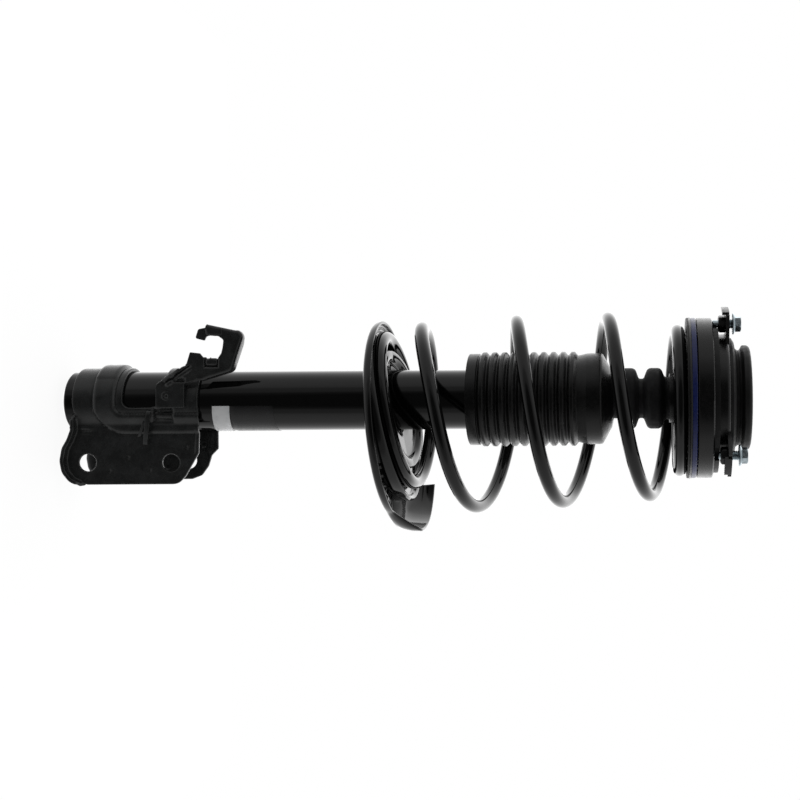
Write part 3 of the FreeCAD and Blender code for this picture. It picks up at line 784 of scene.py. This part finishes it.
def bracket_height(along, z, x, near):
    """How far the pressing stands out from its plain section."""
    turn = along_at(17.5)
    spine = rounded([(0, -522.5), (turn, -522.5, 15), (turn, -440.0)], steps=8, closed=False)
    points = np.column_stack([along, z])
    gap = gap_to(points, spine, closed=False)
    rib = step_up(gap, 8.7, 7.3)
    height = 2.3 * rib
    height += 0.7 * rib * step_up(x, -17.0, -18.2)
    height += 0.9 * step_up(np.abs(z + 478.0), 3.4, 2.2) * step_up(x, 2.0, 3.2) * step_up(x, 12, 10)
    for at_x, rise in ((21.2, 0.9), (23.6, -0.7), (26.0, 0.7)):
        wave = step_up(np.abs(x - at_x), 1.3, 0.0) * step_up(np.abs(z + 540.5 - (x - 23) * 0.8), 8.0, 2.0)
        height += rise * wave
    for at_z, at_x in ((-520.6, 58.0), (-486.9, 57.6), (-455.7, 38.9), (-505.0, 47.0)):
        gap = np.hypot(z - at_z, x - at_x)
        height += 0.35 * step_up(np.abs(gap - 2.1), 0.8, 0.0) - 0.8 * step_up(gap, 1.7, 0.8)
    pocket = step_up(np.abs(z + 474.5), 9.5, 8.0) * step_up(np.abs(x - 10.5), 6.0, 4.6)
    height -= 3.0 * pocket if near else 0.0
    groove = step_up(np.abs(z + 449.5 + (x - 34) * 0.05), 1.8, 0.6)
    height -= 0.8 * groove * step_up(x, 22, 26) * step_up(x, 46, 42)
    return height


def bracket_point(along, z, side):
    """Points of the pressing's middle surface; side is -1 for the near half and 1 for the far half."""
    x, y, normal_x, normal_y = section_at(along)
    height = bracket_height(along, z, x, side < 0)
    return np.column_stack([x + normal_x * height, side * (y + normal_y * height), z])


def make_knuckle_bracket():
    lower, upper, far_upper = half_outline()
    right = rounded(lower + upper, steps=5, closed=False)
    far = rounded(lower + far_upper, steps=5, closed=False)
    left = [(-a, z) for a, z in reversed(far)]
    outline = right + left[1:-1]
    half_window = along_at(5)
    window = rounded([(-half_window, -507.5, 6), (half_window, -507.5, 6), (half_window, -474, 6),
                      (-half_window, -474, 6)], steps=6)
    holes = [window]
    for at_z, at_x in EAR_HOLES:
        for side in (-1, 1):
            centre = side * along_at(at_x)
            angles = [TAU * k / 40 for k in range(40)]
            holes.append([(centre + EAR_HOLE_R * math.cos(a), at_z + EAR_HOLE_R * math.sin(a))
                          for a in angles])
    points, faces = flat_mesh(outline, holes, BRACKET_STEP, 1.5)
    verts = np.zeros((len(points), 3))
    # negative distances are the far half, positive the half nearest the photograph's camera
    for side, half in ((-1, points[:, 0] >= 0), (1, points[:, 0] < 0)):
        verts[half] = bracket_point(np.abs(points[half, 0]), points[half, 1], side)
    parts = [(verts, faces)]
    loop = spaced(outline, BRACKET_STEP)
    x_of = section_at(np.abs(loop[:, 0]))[0]
    for side in (-1, 1):
        chosen = (loop[:, 0] * -side > 0) & (loop[:, 1] < -540.5) & (x_of > 9)
        order = np.argsort(x_of[chosen])
        path = loop[chosen][order]
        share = path_length_scale(path)
        depth = 6.0 * step_up(share, 0.0, 0.16) * step_up(share, 1.0, 0.9)
        run = np.gradient(path, axis=0)
        run[:, 0] = np.gradient(np.abs(path[:, 0]))
        size = np.hypot(run[:, 0], run[:, 1])
        out_along = run[:, 1] / size
        out_z = -run[:, 0] / size
        base = bracket_point(np.abs(path[:, 0]), path[:, 1], side)
        outwards = [Vector((a, 0, b)) for a, b in zip(out_along, out_z)]
        parts.append(fold_along([Vector(p) for p in base], outwards, (0, side, 0), LIP_BEND, depth))
    verts, faces = joined(parts)
    data = thick_sheet("bracket", verts, faces, WRAP_T, corner=1.0)
    piece_from("bracket", data, BRACKET_COAT, "strut", ["knuckle_bracket"], sharp_degrees=60)


# ---- hose bracket ---------------------------------------------------------------------
HOSE_MID_Y = -29.95
HOSE_SHEET = 2.5
HOSE_STEP = 0.85
FOOT_EDGE = [(-454.6, -14.5, 1), (-454.6, 5.4, 1.5), (-478.6, 5.4, 1.5), (-478.6, -14.0, 3)]
# the face, from the arm's lower end round the slot and back along the folded edges
HOSE_FACE = [
    (-472.4, -18.4, 1), (-459.4, -27.1, 1), (-453.2, -29.3, 1.5), (-449.7, -41.0, 1), (-441.3, -40.0, 0.8),
    (-438.7, -36.8, 1), (-434.8, -35.0, 0.8), (-432.8, -35.8, 0.6), (-426.9, -35.1, 2), (-423.6, -40.0, 1.2),
    (-422.5, -44.5, 1.5), (-421.7, -51.0, 2.5), (-426.0, -54.2, 2), (-432.6, -55.0, 1.5), (-435.9, -53.6, 1),
    (-437.4, -50.4, 0.8), (-445.1, -52.4, 1.6), (-442.7, -60.2, 2.5), (-436.0, -61.4, 2),
    (-408.4, -55.4, 2.5), (-417.8, -27.4, 3), (-436.9, -21.6, 3), (-447.0, -16.8, 1),
]
# the folded edge runs between the outline's points nearest to these
FOLD_FROM = (-436.0, -61.4)
FOLD_TO = (-443.0, -18.7)


def hose_height(z, x):
    """How far the pressing stands towards the photograph's camera."""
    height = 1.0 * step_up(np.abs(z + 429.3 - (x + 57.5) * 0.2), 6.6, 5.6) * step_up(x, -55.0, -56.2)
    pocket = step_up(np.abs(z + 432.2), 6.8, 5.4) * step_up(np.abs(x + 31.6), 4.4, 3.2)
    tab = step_up(np.abs(z + 432.0), 4.6, 3.8) * step_up(np.abs(x + 32.6), 2.6, 1.8)
    height += -2.4 * pocket + 2.6 * tab
    run = np.array([13.0, -9.0]) / math.hypot(13.0, 9.0)
    across = (z + 472.4) * run[1] * -1 + (x + 18.4) * run[0]
    along = (z + 472.4) * run[0] + (x + 18.4) * run[1]
    arm = step_up(along, -1.5, 1.5) * step_up(along, 27, 23)
    height += arm * (1.3 * step_up(np.abs(across - 1.2), 1.2, 0.2)
                     - 1.2 * step_up(np.abs(across - 3.6), 1.2, 0.5)
                     + 1.3 * step_up(np.abs(across - 6.0), 1.5, 0.4))
    height -= 1.8 * step_up(np.abs(z + 459.5), 6.5, 4.5) * step_up(np.abs(x + 17.6), 2.6, 1.2)
    gap = np.hypot(z + 469.6, x + 4.6)
    height += 0.7 * step_up(np.abs(gap - 2.6), 1.0, 0.2) - 0.8 * step_up(gap, 1.7, 0.9)
    return height


def nearest(loop, place):
    return int(np.argmin(np.hypot(loop[:, 0] - place[0], loop[:, 1] - place[1])))


def make_hose_bracket():
    outline = rounded(HOSE_FACE + FOOT_EDGE, steps=5)
    points, faces = flat_mesh(outline, [], HOSE_STEP, 1.1)
    verts = [(x, HOSE_MID_Y - h, z) for (z, x), h in zip(points, hose_height(points[:, 0], points[:, 1]))]
    parts = [(verts, faces)]
    loop = spaced(outline, HOSE_STEP)
    path = loop[nearest(loop, FOLD_FROM):nearest(loop, FOLD_TO) + 1]
    run = np.gradient(path, axis=0)
    size = np.hypot(run[:, 0], run[:, 1])
    outwards = [Vector((-a, 0, b)) for a, b in zip(run[:, 0] / size, run[:, 1] / size)]
    share = path_length_scale(path)
    depth = (1.5 + 6.5 * step_up(share, 0.28, 0.42)) * step_up(share, 1.0, 0.9)
    base = [Vector((x, HOSE_MID_Y - h, z)) for (z, x), h in zip(path, hose_height(path[:, 0], path[:, 1]))]
    parts.append(fold_along(base, outwards, (0, 1, 0), 2.0, depth))
    verts, faces = joined(parts)
    data = thick_sheet("hose_plate", verts, faces, HOSE_SHEET, corner=0.8)
    piece_from("hose_plate", data, BRACKET_COAT, "strut", ["hose_bracket"], sharp_degrees=55)


# ---- wire clip ------------------------------------------------------------------------
def ribbon(path, half_width):
    """Middle surface of a strap that follows a path, its width across half_width."""
    shares = (-1, -0.4, 0.4, 1)
    verts = [Vector(point) + Vector(half_width) * share for point in path for share in shares]
    return verts, grid_faces(len(path), len(shares))


def make_wire_clip():
    main = [(8.0, -28.2, -484.9), (9.5, -29.6, -485.0), (13.0, -29.9, -485.3), (17.0, -29.8, -485.9),
            (21.0, -29.2, -486.6), (25.0, -28.4, -487.3), (29.0, -27.0, -488.3), (33.0, -25.6, -489.2),
            (36.0, -24.4, -489.6)]
    side = [(15.5, -29.6, -488.2), (18.5, -29.2, -489.2), (22.0, -28.4, -490.8), (25.5, -27.0, -492.6),
            (29.3, -25.6, -494.3)]
    parts = [ribbon(main, (0.2, 0.0, 1.9)), ribbon(side, (-0.5, 0.1, 1.5))]
    data = thick_sheet("lead_clip", *joined(parts), 1.2, corner=0.4)
    piece_from("lead_clip", data, BRACKET_COAT, "strut", ["wire_clip"])


# ---- label ----------------------------------------------------------------------------
LABEL_FILM = 0.12
LABEL_LIFT = 0.075
LABEL_EDGE_X = 4.2


def label_patch(name, low, high, slant, material, replaces=()):
    """Blank film on the tube; slant moves the middle of its lower edge along the tube."""
    radius = TUBE_R + LABEL_LIFT
    reach = math.acos(LABEL_EDGE_X / radius)
    columns = 72
    shares = np.linspace(0, 1, 9)
    verts = []
    for k in range(columns + 1):
        angle = -reach + 2 * reach * k / columns
        bottom = 1 - abs(angle) / reach
        for share in shares:
            verts.append((radius * math.cos(angle), radius * math.sin(angle),
                          low + slant * bottom + (high - low) * share))
    data = thick_sheet(name, verts, grid_faces(columns + 1, len(shares)), LABEL_FILM, corner=0.05)
    return piece_from(name, data, material, "strut", replaces)


def make_labels():
    label_patch("label_white", -433.4, -418.8, -3.2, LABEL_WHITE)
    label_patch("label_black", -418.6, -382.6, 0.0, LABEL_BLACK, ["strut_label"])


# ---- bolts and nuts -------------------------------------------------------------------
BOLT_CIRCLE_R = 65.0
BOLT_ANGLES = (197.0, 317.0, 77.0)
BOLT_RISE = (3.0, 6.2, 5.1)
BOLT_LENGTH = 16.8
BOLT_R = 4.0
BOLT_SIDES = 60
PITCH = 1.25
THREAD_STEP = 0.14


def hex_radius(angle, across):
    return across / 2 / math.cos((angle + math.pi / 6) % (math.pi / 3) - math.pi / 6)


def radial_data(rows):
    """Solid whose rows are (z, radius as a function of angle); both ends are closed flat."""
    verts = []
    for z, radius in rows:
        for k in range(BOLT_SIDES):
            angle = TAU * k / BOLT_SIDES
            reach = radius(angle)
            verts.append((reach * math.cos(angle), reach * math.sin(angle), z))
    return verts, ring_faces(len(rows), BOLT_SIDES) + end_faces(len(verts), BOLT_SIDES)


def round_row(z, radius):
    return z, lambda angle: radius


def hex_row(z, across, limit):
    return z, lambda angle: min(hex_radius(angle, across), limit)


def thread_row(z, low):
    """Row of a helical thread."""
    def radius(angle):
        phase = ((z - low) / PITCH - angle / TAU) % 1
        return BOLT_R - 0.62 * min(1.0, max(0.0, 1.15 - abs(phase - 0.5) * 3.2))
    return z, radius


def bolt_data():
    """Flanged hexagon bolt, flange underside at z = 0, with a rolled thread and a dog point."""
    tip = -BOLT_LENGTH
    rows = [round_row(tip, 2.3), round_row(tip + 0.4, 2.9), round_row(tip + 0.8, 3.1),
            round_row(tip + 4.6, 3.1)]
    start = tip + 5.4
    for k in range(int((-0.8 - start) / THREAD_STEP)):
        rows.append(thread_row(start + THREAD_STEP * k, start))
    rows += [round_row(-0.5, 3.7), round_row(-0.02, 4.1), round_row(0.0, 8.4), round_row(0.25, 8.9),
             round_row(0.8, 9.0), round_row(1.2, 8.8), round_row(1.9, 7.9), hex_row(2.5, 12, 7.2),
             hex_row(2.9, 12, 6.93), hex_row(6.4, 12, 6.93), hex_row(6.9, 12, 6.6), hex_row(7.3, 12, 6.1),
             round_row(7.35, 5.6), round_row(7.3, 4.4), round_row(6.9, 3.9)]
    return radial_data(rows)


def nut_data():
    """Weld nut under a lug, with a hole for the bolt."""
    bore = BOLT_R + 0.1
    rows = [round_row(-9.0, bore), round_row(-9.0, 5.6), hex_row(-8.7, 13, 6.4), hex_row(-8.2, 13, 7.0),
            hex_row(-7.6, 13, 7.5), hex_row(-3.5, 13, 7.5), hex_row(-3.1, 13, 7.2), round_row(-3.05, bore)]
    verts = radial_data(rows)[0]
    return verts, ring_faces(len(rows), BOLT_SIDES, closed=True)


def placed_at_bolts(shape, lifts):
    parts = []
    for angle, lift in zip(BOLT_ANGLES, lifts):
        place = Matrix.Rotation(math.radians(angle), 4, "Z") @ Matrix.Translation((BOLT_CIRCLE_R, 0, lift))
        verts, faces = shape
        parts.append(([place @ Vector(v) for v in verts], faces))
    return joined(parts)


def make_bolts():
    data = mesh_from("tower_bolts", *placed_at_bolts(bolt_data(), BOLT_RISE))
    piece_from("tower_bolts", data, ZINC, "top_mount", ["flange_bolts"], sharp_degrees=32)
    data = mesh_from("tower_nuts", *placed_at_bolts(nut_data(), (0, 0, 0)))
    piece_from("tower_nuts", data, PLATE_COAT, "top_mount", ["weld_nuts"], sharp_degrees=32)


make_spring()
make_bumper()
make_boot()
make_lower_seat()
make_knuckle_bracket()
make_hose_bracket()
make_wire_clip()
make_labels()
make_bolts()


# ---- floor, light and camera ----------------------------------------------------------
FLOOR_REACH = 0.42
FLOOR_GAP = 0.0005


def make_floor():
    corners = [(-1, -1), (1, -1), (1, 1), (-1, 1)]
    level = cad_box[0][2] - FLOOR_GAP
    data = bpy.data.meshes.new("floor")
    data.from_pydata([(FLOOR_REACH * x, FLOOR_REACH * y, level) for x, y in corners], [], [(0, 1, 2, 3)])
    floor = bpy.data.objects.new("floor", data)
    bpy.context.scene.collection.objects.link(floor)
    mat = bpy.data.materials.new("floor")
    mat.use_nodes = True
    shader = mat.node_tree.nodes["Principled BSDF"]
    shader.inputs["Base Color"].default_value = (0.12, 0.12, 0.12, 1)
    shader.inputs["Roughness"].default_value = 1.0
    shader.inputs["Specular IOR Level"].default_value = 0.0
    shader.inputs["Emission Color"].default_value = (1, 1, 1, 1)
    shader.inputs["Emission Strength"].default_value = 0.93
    data.materials.append(mat)
    # the camera sees the floor, but the strut isn't lit by it and doesn't mirror it
    floor.visible_diffuse = False
    floor.visible_glossy = False


# the studio's brightness at angles, in degrees, from the direction towards the photograph's camera
STUDIO = ((0, 0.045), (25, 0.048), (33, 0.11), (38, 0.24), (49, 0.27), (56, 0.44), (66, 0.5), (92, 0.54),
          (110, 0.75), (126, 1.05), (138, 1.4), (150, 1.75))


def make_world():
    world = bpy.data.worlds.new("studio")
    bpy.context.scene.world = world
    world.use_nodes = True
    tree = world.node_tree
    tree.nodes.clear()
    direction = tree.nodes.new("ShaderNodeTexCoord").outputs["Generated"]
    dot = tree.nodes.new("ShaderNodeVectorMath")
    dot.operation = "DOT_PRODUCT"
    dot.inputs[1].default_value = (0, -1, 0)
    link(tree, direction, dot.inputs[0])
    angle = tree.nodes.new("ShaderNodeMath")
    angle.operation = "ARCCOSINE"
    link(tree, dot.outputs["Value"], angle.inputs[0])
    ramp = tree.nodes.new("ShaderNodeValToRGB")
    link(tree, ranged(tree, angle.outputs["Value"], 0.0, math.pi, 0.0, 1.0), ramp.inputs["Fac"])
    stops = ramp.color_ramp.elements
    stops[0].position = STUDIO[0][0] / 180
    stops[1].position = STUDIO[-1][0] / 180
    for degrees, _ in STUDIO[1:-1]:
        stops.new(degrees / 180)
    for stop, (_, level) in zip(stops, STUDIO):
        stop.color = (level, level, level, 1)
    # camera rays see plain white; all other rays see the studio
    lit = tree.nodes.new("ShaderNodeBackground")
    link(tree, ramp.outputs["Color"], lit.inputs["Color"])
    backdrop = tree.nodes.new("ShaderNodeBackground")
    backdrop.inputs["Color"].default_value = (1, 1, 1, 1)
    seen = tree.nodes.new("ShaderNodeMixShader")
    link(tree, tree.nodes.new("ShaderNodeLightPath").outputs["Is Camera Ray"], seen.inputs["Fac"])
    link(tree, lit.outputs["Background"], seen.inputs[1])
    link(tree, backdrop.outputs["Background"], seen.inputs[2])
    link(tree, seen.outputs["Shader"], tree.nodes.new("ShaderNodeOutputWorld").inputs["Surface"])
    bpy.context.scene.view_settings.view_transform = "Standard"


CAMERA_AT = (0.00143, -1.1, -0.0682)


def make_camera():
    """Looks along +Y with the strut's axis across the picture, top mount to the right."""
    roll = math.radians(0.38)
    right = Vector((math.sin(roll), 0, math.cos(roll)))
    up = Vector((-math.cos(roll), 0, math.sin(roll)))
    back = Vector((0, -1, 0))
    data = bpy.data.cameras.new("camera")
    data.sensor_width = 36.0
    data.lens = 57.76
    data.shift_x = -0.31
    data.clip_start = 0.05
    data.clip_end = 50
    camera = bpy.data.objects.new("camera", data)
    bpy.context.scene.collection.objects.link(camera)
    camera.matrix_world = Matrix((
        (right.x, up.x, back.x, CAMERA_AT[0]),
        (right.y, up.y, back.y, CAMERA_AT[1]),
        (right.z, up.z, back.z, CAMERA_AT[2]),
        (0, 0, 0, 1),
    ))
    bpy.context.scene.camera = camera


make_floor()
make_world()
make_camera()
